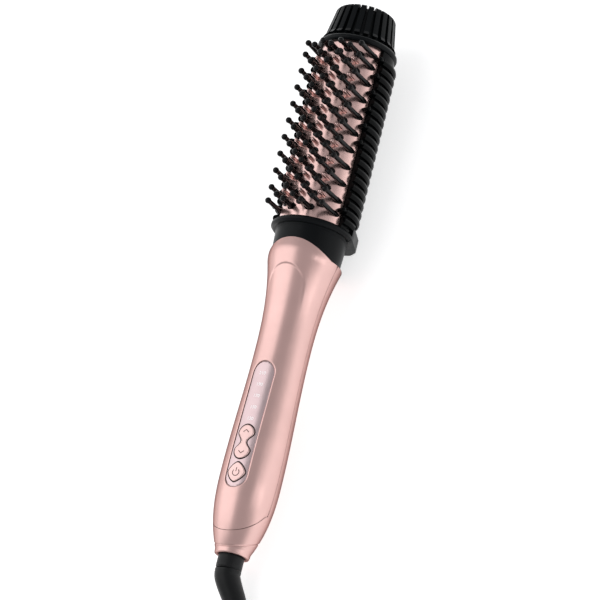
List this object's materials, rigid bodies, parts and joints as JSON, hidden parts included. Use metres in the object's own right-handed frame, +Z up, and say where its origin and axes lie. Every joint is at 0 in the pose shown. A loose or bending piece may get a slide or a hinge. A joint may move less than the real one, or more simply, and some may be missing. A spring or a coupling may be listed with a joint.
{
  "type": "heated hair straightening brush",
  "caption": "Slim heated hair brush: tapered handle with button panel, ribbed barrel with ball-tipped teeth over a heated plate, finned cool tip, mains lead.",
  "frame": {"origin": "on the table, under the middle of the brush's own box, with the lead and what is on it left out", "axes": "+Y along the brush towards the tip, +Z up with the teeth, +X to the right"},
  "size_m": [0.0587, 0.5672, 0.0624],
  "materials": {
    "rose_plastic": "pearl rose gold lacquer, satin gloss",
    "panel_plastic": "the same lacquer, a little smoother",
    "button_plastic": "the same lacquer, satin",
    "rose_metal": "rose gold coated aluminium, smooth",
    "black_plastic": "moulded, semi-gloss",
    "rib_plastic": "moulded, glossy rib crests",
    "tooth_nylon": "glossy black nylon",
    "dark_plastic": "moulded, fine texture",
    "white_plastic": "matt",
    "clear_plastic": "clear acrylic",
    "silicone": "soft, matt",
    "board": "solder mask",
    "wire_sleeve": "smooth insulation",
    "steel": "zinc plated",
    "aluminium": "extruded",
    "brass": "plain",
    "black_rubber": "moulded, satin",
    "cord_rubber": "smooth, slightly glossy"
  },
  "bodies": {
    "handle": {"front_shell": "rose_plastic", "rear_shell": "rose_plastic", "shell_screws": "steel", "control_panel": "panel_plastic", "control_board": "board", "tact_switches": "dark_plastic", "button_pad": "silicone", "indicator_leds": "white_plastic", "light_guide": "clear_plastic", "power_board": "board", "power_components": "dark_plastic", "inner_frame": "dark_plastic", "terminal_block": "white_plastic", "lead_wires": "wire_sleeve", "collar": "black_plastic", "heater_plate": "rose_metal", "tooth_strip_1": "tooth_nylon", "tooth_strip_2": "tooth_nylon", "tooth_strip_3": "tooth_nylon", "tooth_strip_4": "tooth_nylon", "tooth_strip_5": "tooth_nylon", "tooth_strip_6": "tooth_nylon", "tooth_strip_7": "tooth_nylon", "rib_cover": "rib_plastic", "heat_spreader": "aluminium", "ptc_heaters": "white_plastic", "clamp_springs": "steel", "thermal_fuse": "brass", "temperature_sensor": "wire_sleeve", "insulator_ring": "white_plastic", "tip_cap": "black_plastic", "cap_screw": "steel", "swivel_housing": "dark_plastic", "swivel_contacts": "brass", "strain_relief": "black_rubber", "cord": "cord_rubber", "cord_hank": "cord_rubber", "cord_tie": "black_rubber", "plug_body": "black_rubber", "plug_pins": "brass"},
    "rocker": {"temp_rocker": "button_plastic"},
    "power": {"power_button": "button_plastic"},
    "swivel": {"swivel_rotor": "black_rubber"}
  },
  "joints": [
    {"name": "rocker_tilt", "type": "hinge", "parent": "handle", "child": "rocker", "pos_m": [0, -0.101, 0.0312], "axis": [1, 0, 0], "range_deg": [-3, 3], "stiffness_Nm_per_rad": 0.05},
    {"name": "power_press", "type": "slide", "parent": "handle", "child": "power", "axis": [0, 0.0511, -0.9987], "range_m": [0, 0.0005], "stiffness_N_per_m": 500},
    {"name": "cord_swivel", "type": "hinge", "parent": "handle", "child": "swivel", "pos_m": [0, -0.14633, 0.01596], "axis": [0, 0.9987, 0.0511], "continuous": true}
  ]
}
